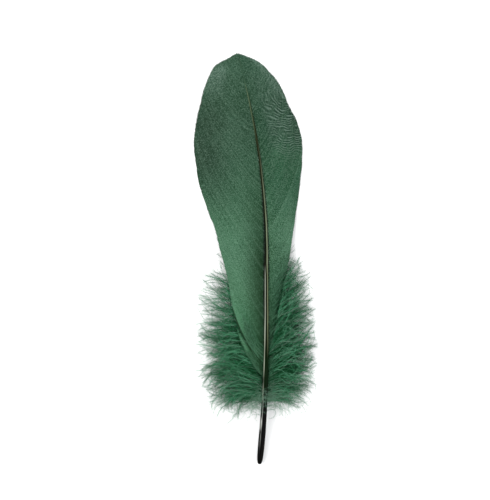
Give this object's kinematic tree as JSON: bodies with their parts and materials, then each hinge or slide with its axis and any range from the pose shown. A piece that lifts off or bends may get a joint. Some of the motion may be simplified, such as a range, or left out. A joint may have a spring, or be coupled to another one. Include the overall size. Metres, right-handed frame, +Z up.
{
  "type": "goose feather",
  "caption": "Lying dyed contour feather: rounded asymmetric closed vanes on an arched, swept shaft, with fluffy tufts of down above a bare quill.",
  "frame": {"origin": "centre of the bounding box, at the level of the surface the feather lies on", "axes": "+Y from the quill to the tip, +Z up from the surface to the feather's outer (dorsal) side, +X to the narrow vane"},
  "size_m": [0.0539, 0.175, 0.0088],
  "materials": {
    "shaft": "glossy dark keratin quill, dyed almost black, with pale tan streaks along the rachis",
    "vane_left": "soft satin grey-green vane with fine barbs",
    "vane_right": "soft satin grey-green vane with fine barbs",
    "down_left": "matt deep green down",
    "down_right": "matt deep green down"
  },
  "bodies": {
    "root": {"shaft": "shaft", "vane_left": "vane_left", "vane_right": "vane_right", "down_left": "down_left", "down_right": "down_right"}
  },
  "joints": []
}
